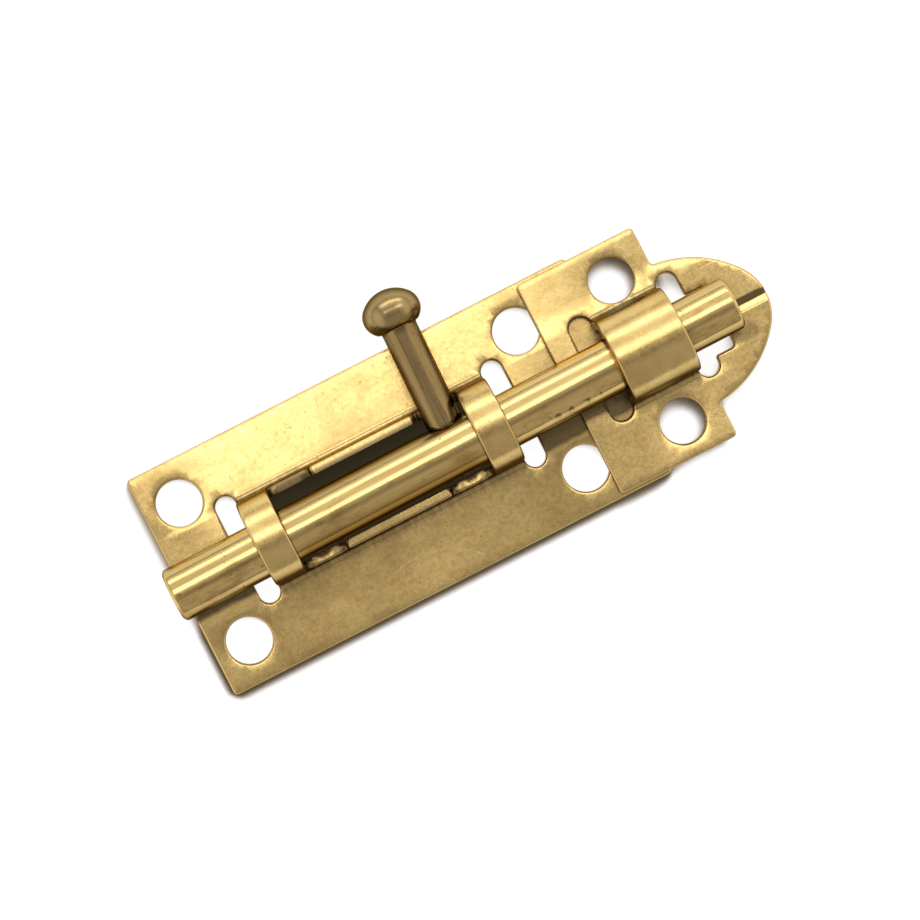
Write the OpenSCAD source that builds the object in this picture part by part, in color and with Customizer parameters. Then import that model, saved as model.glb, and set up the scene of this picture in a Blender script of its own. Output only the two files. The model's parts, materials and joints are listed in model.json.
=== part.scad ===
// Small brass door bolt: a pressed base plate with two guide loops, a round sliding rod with a
// ball knob, and a pressed keeper whose loop takes the end of the rod. All sizes in millimetres.
// The origin is the centre of the four screw holes on the back of the base plate. +X is the way
// the rod is thrown, +Y the side on which the knob lies, and +Z points out of the door.

/* [Sheet metal] */
// Thickness of the pressed sheet, in the base plate and in the keeper
sheet_t = 1.1; // [0.9:0.05:1.3]
// Inner radius where the sheet turns up into a loop or a lip
bend_r = 0.85; // [0.6:0.05:1.1]
// Radius of the plates' outer corners
corner_r = 0.5; // [0.2:0.1:1]

/* [Bolt rod] */
// Diameter of the rod
rod_d = 6.35; // [5.5:0.05:7.5]
// How far the rod is thrown, from one notch to the other
throw = 18.7; // [15:0.1:24]
// How far the thrown rod's tail stands out past the end of the base plate
tail_proud = 0.9; // [0:0.05:3]
// How far the thrown rod's tip stands out past the keeper's loop
tip_proud = 6.8; // [3:0.05:9]
// Chamfer on both ends of the rod
rod_chamfer = 0.35; // [0.1:0.05:0.8]

/* [Knob pin] */
// Diameter of the pin
pin_d = 4.2; // [3.4:0.1:4.8]
// Greatest diameter of the ball knob
knob_d = 6.9; // [6:0.1:7.6]
// Height of the flattened ball if it were whole
knob_ball_h = 5.5; // [5:0.1:5.9]
// Radius of the ball's side, smaller than its dome's
knob_side_r = 2.2; // [1.8:0.05:2.4]
// Height of the knob's widest plane above its flat underside
knob_wide_h = 1.85; // [1.2:0.05:2.1]
// How far the knob's underside lies beyond the edge of the base plate
knob_past_edge = 1.35; // [0.8:0.05:3]
// Lean of the pin towards the keeper, in degrees, as it was set in the rod
pin_lean = 1.5; // [0:0.1:3]

/* [Base plate] */
// Width of the base plate across the rod
base_w = 27.5; // [25:0.1:30]
// Width of each guide loop along the rod
loop_w = 3.85; // [3:0.05:6]
// Width of the relief slot outside each guide loop
relief_w = 2.5; // [1.6:0.1:3]
// How far a relief slot runs past the start of the bend
relief_past_bend = 0.6; // [0.3:0.1:0.9]
// Diameter of the base plate's screw holes
base_hole_d = 5.4; // [4:0.1:6]
// Metal between a screw hole and the long edge
base_hole_edge = 2.25; // [1.4:0.05:2.4]
// Metal between a screw hole and the relief slot, along the rod
base_hole_gap = 0.6; // [0.3:0.1:2]
// Metal between a screw hole and the tail end of the plate
base_end = 1.6; // [1:0.1:4]
// Length of the plate past its front screw holes, most of it under the keeper
base_tongue = 6; // [5.5:0.1:10]

/* [Keeper] */
// How far each long edge of the keeper stands in from the base plate's
keeper_inset = 0.4; // [0:0.05:0.8]
// How far the keeper laps over the front end of the base plate
keeper_lap = 6.5; // [5.4:0.1:7]
// Metal between the keeper's near edge and its first relief slot
keeper_rim = 3.1; // [2:0.1:5]
// Width of the keeper's first relief slot
keeper_near_relief = 2.7; // [1.6:0.1:3.5]
// Width of the keeper's second relief slot, on the nose side
keeper_far_relief = 2.5; // [1.6:0.1:3.5]
// How far the keeper's relief slots run past the start of the bend
keeper_past_bend = 0.4; // [0.3:0.1:0.9]
// Width of the keeper's loop along the rod
keeper_loop_w = 8.5; // [6:0.1:12]
// How far the wings run past the loop
wing_past_loop = 0.6; // [0.4:0.1:2]
// Greatest width of the half-oval nose
nose_w = 17.6; // [16:0.1:20]
// How far the nose stands out past the wings
nose_len = 10.4; // [9:0.1:13]
// How far inside the wings the half oval starts
nose_root = 1.1; // [0:0.1:3]
// Radius of the nose's round end, smaller than that of its sides
nose_end_r = 6; // [5:0.1:7.5]
// How far the nose, its window and its groove lie off the screw holes' line, away from the knob
nose_shift = 0.3; // [0:0.05:0.6]
// Width of the window under the rod's tip
window_w = 7.6; // [6:0.1:9]
// How far the window reaches into the nose past the second relief slot
window_reach = 2.5; // [2:0.1:5]
// Diameter of the keeper's screw holes
keeper_hole_d = 5.3; // [4:0.1:6]
// Metal between a keeper screw hole and the long edge
keeper_hole_edge = 1.7; // [1.2:0.05:2.2]
// Width of the V groove along the middle of the nose
groove_w = 1.5; // [0.8:0.1:2]
// Depth of the V groove
groove_depth = 0.45; // [0.2:0.05:0.6]

/* [Clearances] */
// Gap between the base plate and the keeper that lies on it
lap_gap = 0.05; // [0.03:0.01:0.1]
// Gap between the keeper's face and the rod that passes over it
land_gap = 0.1; // [0.05:0.05:0.3]
// Gap between the rod and the side of a loop that it lies near, away from the knob
near_gap = 0.45; // [0.3:0.05:0.9]
// Gap between the rod and the other side of a loop, towards the knob
far_gap = 1.45; // [1:0.05:1.6]
// Least gap between the rod and the arch of a guide loop
crown_gap = 0.2; // [0.05:0.05:0.25]
// Gap over the lips when the pin slides past them lying flat
lip_gap = 0.35; // [0.2:0.05:0.6]
// Gap between the pin in its notch and the guide loop
notch_loop_gap = 0.5; // [0.3:0.05:1]
// Gap between the pin in its notch and the lips' ends
notch_lip_gap = 0.6; // [0.3:0.05:1]
// Running gap between the pin's saddle foot and the rod
saddle_gap = 0.05; // [0.03:0.01:0.1]

/* [Hidden] */
$fn = 96;
// Overshoot of a cut past the face that it starts from
cut = 1;

// Section of a loop: its middle, its inner and outer half width, and where the bend starts
loop_y = (far_gap - near_gap) / 2;
loop_in = (rod_d + near_gap + far_gap) / 2;
loop_out = loop_in + sheet_t;
bend_y = loop_out + bend_r;
bend_z = sheet_t + bend_r;

// Heights, from the back of the base plate
keeper_z = sheet_t + lap_gap;
rod_z = keeper_z + sheet_t + land_gap + rod_d / 2;
arch_reach = loop_in - rod_d / 2 - crown_gap;
arch_z = rod_z - sqrt(arch_reach * arch_reach - loop_y * loop_y);
lip_z = rod_z - pin_d / 2 - lip_gap;

// Places along the rod, from the middle of the base plate
pin_x = throw / 2;
lip_x = pin_x - pin_d / 2 - notch_lip_gap;
loop_x = pin_x + pin_d / 2 + notch_loop_gap;
relief_x = loop_x + loop_w;
base_hole_x = relief_x + relief_w + base_hole_gap + base_hole_d / 2;
base_hole_y = base_w / 2 - base_hole_edge - base_hole_d / 2;
base_min_x = -base_hole_x - base_hole_d / 2 - base_end;
base_max_x = base_hole_x + base_hole_d / 2 + base_tongue;

keeper_x = base_max_x - keeper_lap;
near_relief_x = keeper_x + keeper_rim;
keeper_loop_x = near_relief_x + keeper_near_relief;
far_relief_x = keeper_loop_x + keeper_loop_w;
window_x = far_relief_x + keeper_far_relief;
wing_x = far_relief_x + wing_past_loop;
nose_x = wing_x - nose_root;
keeper_w = base_w - 2 * keeper_inset;
keeper_hole_x = keeper_loop_x + keeper_loop_w / 2;
keeper_hole_y = keeper_w / 2 - keeper_hole_edge - keeper_hole_d / 2;

rod_min_x = base_min_x - tail_proud;
rod_max_x = far_relief_x + tip_proud;

// Distances along the pin from the rod's axis
knob_under = base_w / 2 + knob_past_edge;
knob_mid = knob_under + knob_wide_h;

// Draws a section given in Y and Z, and runs it along X from x0 to x1
module run_x(x0, x1) {
    translate([x0, 0, 0])
        rotate([90, 0, 90])
            linear_extrude(x1 - x0)
                children();
}

// A copy of the children on each side of the loops' centre line
module both_sides() {
    children();
    mirror([0, 1, 0])
        children();
}

// A flat rectangle with round corners, from x0 to x1 and centred on the screw holes
module rounded_flat(x0, x1, width, r) {
    translate([x0 + r, -width / 2])
        square([x1 - x0 - 2 * r, width]);
    translate([x0, r - width / 2])
        square([x1 - x0, width - 2 * r]);
    for (x = [x0 + r, x1 - r], y = [r - width / 2, width / 2 - r])
        translate([x, y])
            circle(r);
}

// One side of a half oval: the arc of radius b + drop that meets the end circle tangentially
module oval_side(b, end_x, drop) {
    intersection() {
        translate([0, -drop])
            circle(b + drop);
        polygon([
            [0, -drop],
            [2 * end_x, drop],
            [2 * end_x, b],
            [0, b]
        ]);
    }
}

// The half oval on the +X side: a long, b half as wide as the oval, with an end of radius end_r
module half_oval(a, b, end_r) {
    end_x = a - end_r;
    rise = b - end_r;
    drop = (end_x * end_x - rise * rise) / (2 * rise);
    oval_side(b, end_x, drop);
    mirror([0, 1])
        oval_side(b, end_x, drop);
    translate([end_x, 0])
        intersection() {
            circle(end_r);
            translate([-end_x, -end_r])
                square([a, 2 * end_r]);
        }
}

// A slot across the rod with full round ends
module cross_slot(x0, width, half_length) {
    end_y = half_length - width / 2;
    translate([x0, -end_y])
        square([width, 2 * end_y]);
    for (y = [-end_y, end_y])
        translate([x0 + width / 2, y])
            circle(d = width);
}

// Section of the sheet where it turns up out of the plate, on one side
module bend_section() {
    intersection() {
        difference() {
            translate([bend_y, bend_z])
                circle(bend_z);
            translate([bend_y, bend_z])
                circle(bend_r);
        }
        translate([loop_in, 0])
            square([bend_y - loop_in, bend_z]);
    }
}

// Section of the upright sheet from the bend up to a height, on one side
module leg_section(top_z) {
    translate([loop_in, bend_z])
        square([sheet_t, top_z - bend_z]);
}

// Section of the half-round top of a loop
module arch_section() {
    translate([0, arch_z])
        intersection() {
            difference() {
                circle(loop_out);
                circle(loop_in);
            }
            translate([-loop_out, 0])
                square([2 * loop_out, loop_out]);
        }
}

// A band pressed up out of the sheet into a loop, from x0 to x1
module loop_band(x0, x1) {
    both_sides() {
        run_x(x0, x1)
            bend_section();
        run_x(x0, x1)
            leg_section(arch_z);
    }
    run_x(x0, x1)
        arch_section();
}

module base_plate() {
    color("#d2ad58") {
        linear_extrude(sheet_t)
            difference() {
                rounded_flat(base_min_x, base_max_x, base_w, corner_r);
                translate([-relief_x, loop_y - bend_y])
                    square([2 * relief_x, 2 * bend_y]);
                for (x0 = [-relief_x - relief_w, relief_x])
                    translate([0, loop_y])
                        cross_slot(x0, relief_w, bend_y + relief_past_bend);
                for (x = [-base_hole_x, base_hole_x], y = [-base_hole_y, base_hole_y])
                    translate([x, y])
                        circle(d = base_hole_d);
            }
        // The bend is left standing along the notches, and the lips rise between them
        translate([0, loop_y, 0]) {
            both_sides() {
                run_x(-loop_x, loop_x)
                    bend_section();
                run_x(-lip_x, lip_x)
                    leg_section(lip_z);
            }
            loop_band(-relief_x, -loop_x);
            loop_band(loop_x, relief_x);
        }
    }
}

module bolt_rod() {
    rod_r = rod_d / 2;
    rod_len = rod_max_x - rod_min_x;
    color("#c6a04a")
        translate([rod_min_x, 0, rod_z])
            rotate([0, 90, 0])
                rotate_extrude()
                    polygon([
                        [0, 0],
                        [rod_r - rod_chamfer, 0],
                        [rod_r, rod_chamfer],
                        [rod_r, rod_len - rod_chamfer],
                        [rod_r - rod_chamfer, rod_len],
                        [0, rod_len]
                    ]);
}

module knob_pin() {
    color("#93763f")
        translate([pin_x, 0, rod_z])
            difference() {
                rotate([-90, 0, -pin_lean])
                    rotate_extrude() {
                        square([pin_d / 2, knob_mid]);
                        translate([0, knob_mid])
                            intersection() {
                                half_oval(knob_d / 2, knob_ball_h / 2, knob_side_r);
                                translate([0, -knob_wide_h])
                                    square([knob_d / 2, knob_wide_h + knob_ball_h / 2]);
                            }
                    }
                // The saddle that seats on the round rod
                rotate([0, 90, 0])
                    cylinder(h = 2 * pin_d, d = rod_d + 2 * saddle_gap, center = true);
            }
}

// Outline of the keeper's flat sheet, with its holes, slots and window
module keeper_outline() {
    difference() {
        union() {
            rounded_flat(keeper_x, wing_x, keeper_w, corner_r);
            translate([nose_x, -nose_shift])
                half_oval(nose_root + nose_len, nose_w / 2, nose_end_r);
        }
        translate([keeper_loop_x, loop_y - bend_y])
            square([keeper_loop_w, 2 * bend_y]);
        translate([0, loop_y]) {
            cross_slot(near_relief_x, keeper_near_relief, bend_y + keeper_past_bend);
            cross_slot(far_relief_x, keeper_far_relief, bend_y + keeper_past_bend);
        }
        translate([far_relief_x, -nose_shift - window_w / 2])
            square([keeper_far_relief + window_reach, window_w]);
        for (y = [-keeper_hole_y, keeper_hole_y])
            translate([keeper_hole_x, y])
                circle(d = keeper_hole_d);
    }
}

module keeper() {
    color("#c9a555")
        translate([0, 0, keeper_z]) {
            difference() {
                linear_extrude(sheet_t)
                    keeper_outline();
                run_x(window_x, wing_x + nose_len + cut)
                    translate([-nose_shift, sheet_t])
                        polygon([
                            [-groove_w / 2, 0],
                            [0, -groove_depth],
                            [groove_w / 2, 0],
                            [groove_w / 2, cut],
                            [-groove_w / 2, cut]
                        ]);
            }
            translate([0, loop_y, 0])
                loop_band(keeper_loop_x, far_relief_x);
        }
}

base_plate();
bolt_rod();
knob_pin();
keeper();
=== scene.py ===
import json
import math

import bpy
import numpy as np
from mathutils import Matrix, Vector, noise
from mathutils.geometry import delaunay_2d_cdt

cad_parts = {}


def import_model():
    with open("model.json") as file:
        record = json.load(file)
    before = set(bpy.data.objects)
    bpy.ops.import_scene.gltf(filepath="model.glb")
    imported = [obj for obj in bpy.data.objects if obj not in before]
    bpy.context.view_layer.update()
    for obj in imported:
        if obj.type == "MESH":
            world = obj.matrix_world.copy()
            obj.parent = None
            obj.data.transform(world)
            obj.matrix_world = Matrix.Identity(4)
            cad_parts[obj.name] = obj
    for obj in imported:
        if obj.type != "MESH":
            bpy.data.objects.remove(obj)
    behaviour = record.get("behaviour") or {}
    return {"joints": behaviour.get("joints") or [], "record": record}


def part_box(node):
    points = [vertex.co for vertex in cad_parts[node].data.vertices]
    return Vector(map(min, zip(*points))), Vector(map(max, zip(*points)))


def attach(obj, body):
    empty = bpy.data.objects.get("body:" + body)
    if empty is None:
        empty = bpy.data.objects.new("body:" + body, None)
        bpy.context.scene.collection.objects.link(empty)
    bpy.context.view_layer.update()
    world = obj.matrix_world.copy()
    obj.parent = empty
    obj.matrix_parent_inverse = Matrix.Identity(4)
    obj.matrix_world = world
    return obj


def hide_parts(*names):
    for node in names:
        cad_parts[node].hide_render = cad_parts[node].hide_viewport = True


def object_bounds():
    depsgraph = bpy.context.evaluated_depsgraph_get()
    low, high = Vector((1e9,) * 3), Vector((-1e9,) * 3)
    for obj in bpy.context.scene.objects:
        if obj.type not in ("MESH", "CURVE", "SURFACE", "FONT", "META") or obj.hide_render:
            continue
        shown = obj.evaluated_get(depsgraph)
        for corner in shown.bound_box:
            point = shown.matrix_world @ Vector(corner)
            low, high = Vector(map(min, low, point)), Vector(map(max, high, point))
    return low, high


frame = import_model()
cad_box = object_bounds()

# Shapes are worked out in millimetres, in the frame's own axes, and turned into metres in make_piece.
MM = 0.001

# Sizes read from the frame


def box_mm(node):
    low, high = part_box(node)
    return low / MM, high / MM


base_low, base_high = box_mm("base_plate")
keeper_low, keeper_high = box_mm("keeper")
rod_low, rod_high = box_mm("bolt_rod")
mounts = {mount["name"]: mount for mount in frame["record"]["mounts"]}
joints = {joint["name"]: joint for joint in frame["joints"]}

rod_r = (rod_high.y - rod_low.y) / 2
rod_z = (rod_high.z + rod_low.z) / 2
pin_x = joints["knob_turn"]["pos_m"][0] / MM
base_screws = mounts["base_screws"]["dims"]
keeper_screws = mounts["keeper_screws"]["dims"]
keeper_hole_x = mounts["keeper_screws"]["pos_m"][0] / MM

# Sizes of the press tool, the same for both plates
sheet_t = 1.1
bend_r = 0.85
corner_r = 0.5
near_gap = 0.45
far_gap = 1.45
loop_y = (far_gap - near_gap) / 2
loop_in = rod_r + (near_gap + far_gap) / 2
loop_out = loop_in + sheet_t
arch_z = base_high.z - base_low.z - loop_out
bend_y = loop_out + bend_r
bend_z = sheet_t + bend_r

# Sizes of the pin and its knob, and the lie and the unevenness of the rod
pin_r = 2.1
pin_lean = math.radians(1.5)
saddle_r = rod_r + 0.05
rod_skew = math.tan(math.radians(0.65))
rod_wave = 0.012
knob_r = 3.45
knob_half_h = 2.75
knob_side_r = 2.2
knob_under = base_high.y + 1.35
knob_mid = knob_under + 1.85

# Places along the rod on the base plate
lip_z = rod_z - pin_r - 0.35
lip_x = pin_x - pin_r - 0.6
loop_x = pin_x + pin_r + 0.5
relief_x = loop_x + 3.85
relief_w = 2.5
relief_past_bend = 0.6

# Places along the rod on the keeper
near_relief_w = 2.7
far_relief_w = 2.5
near_relief_x = keeper_low.x + 3.1
keeper_loop_x = near_relief_x + near_relief_w
far_relief_x = keeper_loop_x + 8.5
window_x = far_relief_x + far_relief_w
window_w = 7.6
window_reach = 2.5
keeper_past_bend = 0.4
wing_x = far_relief_x + 0.6
nose_y = -0.3
nose_half_w = 8.8
nose_x = wing_x - 1.1
nose_end_r = 6
groove_w = 1.5
groove_depth = 0.45

# Finish of the punched edges
roll_top = 0.3
roll_back = 0.06
roll_steps = 4
back_steps = 2

# The pressed band's section, unrolled from the top of the arch (s = 0) to the flat sheet (s = flat_s)
half_t = sheet_t / 2
arch_r = loop_in + half_t
fold_r = bend_r + half_t
arch_s = arch_r * math.pi / 2
leg_s = arch_s + arch_z - bend_z
flat_s = leg_s + fold_r * math.pi / 2

# Past the slots the sheet lies flat under the band's unrolled length, so s runs faster there over a
# narrow strip of y, between core_y and core_y_end, where only straight walls cross it.
core_y = bend_y - 1.1
core_y_end = bend_y - 0.9
core_s_end = flat_s - 0.9


def s_from_y(y):
    """Unrolled place of a point of the flat sheet, y being measured from the loops' centre line."""
    a = abs(y)
    if a >= core_y_end:
        s = flat_s + a - bend_y
    elif a <= core_y:
        s = a
    else:
        s = core_y + (a - core_y) * (core_s_end - core_y) / (core_y_end - core_y)
    return math.copysign(s, y)


def y_from_s(s):
    """The other way round, on the flat sheet."""
    a = abs(s)
    if a >= core_s_end:
        y = bend_y + a - flat_s
    elif a <= core_y:
        y = a
    else:
        y = core_y + (a - core_y) * (core_y_end - core_y) / (core_s_end - core_y)
    return math.copysign(y, s)


def section(s, folded):
    """Place and outward normal (y, z, ny, nz) of the sheet's middle surface, for the side s > 0."""
    if s >= flat_s:
        return bend_y + s - flat_s, half_t, 0.0, 1.0
    if not folded:
        return y_from_s(s), half_t, 0.0, 1.0
    if s <= arch_s:
        angle = s / arch_r
        sin, cos = math.sin(angle), math.cos(angle)
        return arch_r * sin, arch_z + arch_r * cos, sin, cos
    if s <= leg_s:
        return arch_r, arch_z + arch_s - s, 1.0, 0.0
    angle = (s - leg_s) / fold_r
    sin, cos = math.sin(angle), math.cos(angle)
    return bend_y - fold_r * cos, bend_z - fold_r * sin, cos, sin


# Outlines: closed lists of points with the metal on their left


def arc(centre, radius, start, end, step):
    """Points of an arc from one angle to another, both included."""
    count = max(2, math.ceil(abs(end - start) * radius / step))
    angles = [start + (end - start) * i / count for i in range(count + 1)]
    return [(centre[0] + radius * math.cos(a), centre[1] + radius * math.sin(a)) for a in angles]


def circle(centre, radius, step=0.35):
    """A hole: its outline runs clockwise."""
    return arc(centre, radius, 2 * math.pi, 0, step)[:-1]


def rounded(corners, step=0.1):
    """A closed outline through corners (x, y, radius), with an arc at each corner that has a radius."""
    points = []
    count = len(corners)
    for i, (x, y, radius) in enumerate(corners):
        here = Vector((x, y))
        if radius == 0:
            points.append((x, y))
            continue
        to_last = (Vector(corners[i - 1][:2]) - here).normalized()
        to_next = (Vector(corners[(i + 1) % count][:2]) - here).normalized()
        half = to_last.angle(to_next) / 2
        centre = here + (to_last + to_next).normalized() * radius / math.sin(half)
        first = here + to_last * radius / math.tan(half) - centre
        last = here + to_next * radius / math.tan(half) - centre
        start = math.atan2(first.y, first.x)
        turn = (math.atan2(last.y, last.x) - start + math.pi) % (2 * math.pi) - math.pi
        points += arc(centre, radius, start, start + turn, step)
    return points


def slot(x0, width, half_length, step=0.25):
    """A slot across the rod with full round ends, in (x, s), drawn clockwise."""
    centre_x = x0 + width / 2
    radius = width / 2
    end = half_length - radius
    upper = arc((centre_x, end), radius, math.pi, 0, step)
    lower = arc((centre_x, -end), radius, 0, -math.pi, step)
    return upper + lower


def divide(points, rows, longest=0.8, shortest=0.04):
    """Adds points where an outline crosses a row of the grid, and along its long straight stretches."""
    out = []
    for p, q in zip(points, points[1:] + points[:1]):
        out.append(p)
        length = math.dist(p, q)
        cuts = set()
        if abs(q[1] - p[1]) > 1e-6:
            cuts = {(row - p[1]) / (q[1] - p[1]) for row in rows}
        if not any(0 < cut < 1 for cut in cuts):
            count = math.ceil(length / longest)
            cuts = {i / count for i in range(1, count)}
        least = shortest / max(length, shortest)
        for cut in sorted(cuts):
            if least < cut < 1 - least:
                out.append((p[0] + cut * (q[0] - p[0]), p[1] + cut * (q[1] - p[1])))
    return out


def inset(points, distance):
    """The closed outline moved into the metal on its left."""
    p = np.array(points)
    edge = np.roll(p, -1, axis=0) - p
    edge /= np.linalg.norm(edge, axis=1)[:, None]
    left = np.column_stack([-edge[:, 1], edge[:, 0]])
    last = np.roll(left, 1, axis=0)
    mitre = (left + last) / (1 + np.sum(left * last, axis=1))[:, None]
    return p + distance * mitre


def inside(points, loops):
    """Whether each point lies in the metal, by the even-odd rule."""
    x, y = points[:, 0:1], points[:, 1:2]
    result = np.zeros(len(points), bool)
    for loop in loops:
        x0, y0 = loop[:, 0], loop[:, 1]
        x1, y1 = np.roll(x0, -1), np.roll(y0, -1)
        spans = (y0 > y) != (y1 > y)
        with np.errstate(divide="ignore", invalid="ignore"):
            crossing = x0 + (y - y0) * (x1 - x0) / (y1 - y0)
        result ^= (np.sum(spans & (x < crossing), axis=1) % 2).astype(bool)
    return result


# Grid rows of the folded band: every 6 degrees round the arch and the bend
row_angle = math.radians(6)
arch_rows = [arch_r * row_angle * i for i in range(round(math.pi / 2 / row_angle) + 1)]
leg_rows = [arch_s + (leg_s - arch_s) * i / 4 for i in range(1, 4)]
bend_rows = [leg_s + fold_r * row_angle * i for i in range(round(math.pi / 2 / row_angle) + 1)]
half_rows = arch_rows + leg_rows + bend_rows
band_rows = sorted(set(half_rows + [-s for s in half_rows]))

# Rows along the groove of the nose: down one wall, as shares of its half width, and up the other
groove_shares = (-1.2, -1, -0.75, -0.5, -0.25, -0.1, 0)
groove_rows = [nose_y - loop_y + groove_w / 2 * share for share in groove_shares]
groove_rows += [2 * groove_rows[-1] - row for row in reversed(groove_rows[:-1])]

# The grid that fills the metal: its steps on the band, on the flat sheet and at the groove, and how
# far it stays from an outline and from the foot of a bend
band_step = 0.7
flat_step = 1.0
groove_step = 0.45
from_outline = 0.2
from_bend = 0.3


def make_piece(name, vertices, faces, material, node, body):
    """A mesh given in millimetres, which stands for a CAD node and rides on its body."""
    mesh = bpy.data.meshes.new(name)
    mesh.from_pydata([(x * MM, y * MM, z * MM) for x, y, z in vertices], [], faces)
    mesh.shade_smooth()
    mesh.materials.append(material)
    piece = bpy.data.objects.new(name, mesh)
    bpy.context.scene.collection.objects.link(piece)
    weighted = piece.modifiers.new("flat_faces_stay_flat", "WEIGHTED_NORMAL")
    weighted.mode = "FACE_AREA_WITH_ANGLE"
    weighted.weight = 60
    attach(piece, body)
    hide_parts(node)
    return piece


def sheet_shape(low_z, flat_loops, band_loops, rows, is_folded, top_drop):
    """Vertices and faces of a pressed sheet with rolled edges.

    flat_loops are outlines on the flat sheet, in (x, y from the loops' centre line). band_loops are
    outlines in (x, s). is_folded(x) says where the band rises, and top_drop(x, y) lowers the front.
    """
    angles = [math.pi / 2 * i / roll_steps for i in range(roll_steps + 1)]
    profile = [(roll_top * (1 - math.sin(a)), half_t - roll_top * (1 - math.cos(a))) for a in angles]
    front_rings = len(profile)
    angles = [math.pi / 2 * (1 - i / back_steps) for i in range(back_steps + 1)]
    profile += [(roll_back * (1 - math.sin(a)), -half_t + roll_back * (1 - math.cos(a))) for a in angles]

    vertices = []

    def add(x, s, height, front):
        folded = is_folded(x) and abs(s) < flat_s
        y, z, ny, nz = section(abs(s), folded)
        side = math.copysign(1, s)
        if front and not folded:
            height -= top_drop(x, side * y)
        vertices.append((x, loop_y + side * (y + height * ny), low_z + z + height * nz))
        return len(vertices) - 1

    def ring(loop, is_flat, distance):
        points = inset(loop, distance)
        if is_flat:
            points = np.array([(x, s_from_y(y)) for x, y in points])
        return points

    loops = [(divide(loop, rows), True) for loop in flat_loops]
    loops += [(divide(loop, rows), False) for loop in band_loops]

    skins = []
    for skin_index in (0, len(profile) - 1):
        rings = [ring(loop, is_flat, profile[skin_index][0]) for loop, is_flat in loops]
        skins.append(triangulate(rings, rows, is_folded))

    faces = []
    skin_rings = []
    for skin, front in zip(skins, (True, False)):
        points, triangles, ring_ids = skin
        first = len(vertices)
        for x, s in points:
            add(x, s, half_t if front else -half_t, front)
        order = 1 if front else -1
        faces += [tuple(first + i for i in triangle[::order]) for triangle in triangles]
        skin_rings.append([[first + i for i in ids] for ids in ring_ids])

    for loop_index, (loop, is_flat) in enumerate(loops):
        last_ids = skin_rings[0][loop_index]
        for ring_index in range(1, len(profile)):
            if ring_index == len(profile) - 1:
                ids = skin_rings[1][loop_index]
            else:
                distance, height = profile[ring_index]
                front = ring_index < front_rings
                ids = [add(x, s, height, front) for x, s in ring(loop, is_flat, distance)]
            count = len(ids)
            for i in range(count):
                j = (i + 1) % count
                faces.append((last_ids[i], ids[i], ids[j], last_ids[j]))
            last_ids = ids
    return vertices, faces


def triangulate(rings, rows, is_folded):
    """Fills the metal between the rings; returns its points, triangles and each ring's point numbers."""
    border = np.concatenate(rings)
    low, high = border.min(axis=0), border.max(axis=0)
    grid = []
    for x in np.arange(low[0] + 0.4, high[0], band_step):
        if is_folded(x):
            grid += [(x, s) for s in rows if abs(s) < flat_s + 0.01]
    for x in np.arange(low[0] + flat_step / 2, high[0], flat_step):
        for y in np.arange(-round(high[1]), high[1], flat_step):
            if not (is_folded(x) and abs(y) < bend_y + from_bend):
                grid.append((x, s_from_y(y)))
    for x in np.arange(window_x, high[0], groove_step):
        if x > window_x + 1:
            grid += [(x, row) for row in rows if row in groove_rows]
    grid = np.array(grid)
    nearest = np.array([np.min(np.sum((border - p) ** 2, axis=1)) for p in grid])
    grid = grid[nearest > from_outline ** 2]
    grid = grid[inside(grid, rings)]
    _, unique = np.unique(grid.round(4), axis=0, return_index=True)
    grid = grid[np.sort(unique)]

    points = np.concatenate([border, grid])
    edges = []
    spans = []
    first = 0
    for ring in rings:
        count = len(ring)
        spans.append(range(first, first + count))
        edges += [(first + i, first + (i + 1) % count) for i in range(count)]
        first += count
    result = delaunay_2d_cdt([Vector(p) for p in points], edges, [], 0, 1e-6, True)
    new_points, _, triangles, origins = result[:4]
    number = {old: new for new, olds in enumerate(origins) for old in olds}
    centres = np.array([sum((new_points[i] for i in t), Vector((0, 0))) / 3 for t in triangles])
    keep = inside(centres, rings)
    triangles = [tuple(t) for t, kept in zip(triangles, keep) if kept]
    used = sorted({i for t in triangles for i in t})
    renumber = {old: new for new, old in enumerate(used)}
    triangles = [tuple(renumber[i] for i in t) for t in triangles]
    ring_ids = [[renumber[number[i]] for i in span] for span in spans]
    return [tuple(new_points[i]) for i in used], triangles, ring_ids


# The base plate


def base_outline():
    low_y, high_y = base_low.y - loop_y, base_high.y - loop_y
    return rounded([
        (base_low.x, low_y, corner_r),
        (base_high.x, low_y, corner_r),
        (base_high.x, high_y, corner_r),
        (base_low.x, high_y, corner_r),
    ])


def base_holes():
    hole_x, hole_y = base_screws["spacing_x_mm"] / 2, base_screws["spacing_y_mm"] / 2
    centres = [(x, y - loop_y) for x in (-hole_x, hole_x) for y in (-hole_y, hole_y)]
    return [circle(centre, base_screws["hole_r_mm"]) for centre in centres]


def base_window():
    """The opening between the guide loops, with a lip and two notches on each side, clockwise."""
    lip_s = arch_s + arch_z - lip_z
    loop_foot = 1.05
    lip_foot = 0.65
    lip_end = 0.45
    right = [
        (loop_x, leg_s, loop_foot),
        (lip_x, leg_s, lip_foot),
        (lip_x, lip_s, lip_end),
    ]
    left = [(-x, s, r) for x, s, r in reversed(right)]
    top = right + left
    bottom = [(x, -s, r) for x, s, r in reversed(top)]
    return rounded(top + bottom)[::-1]


def base_slots():
    half_length = flat_s + relief_past_bend
    return [slot(x, relief_w, half_length) for x in (-relief_x - relief_w, relief_x)]


def base_is_folded(x):
    return abs(x) < relief_x + relief_w / 2


# The keeper


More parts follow.
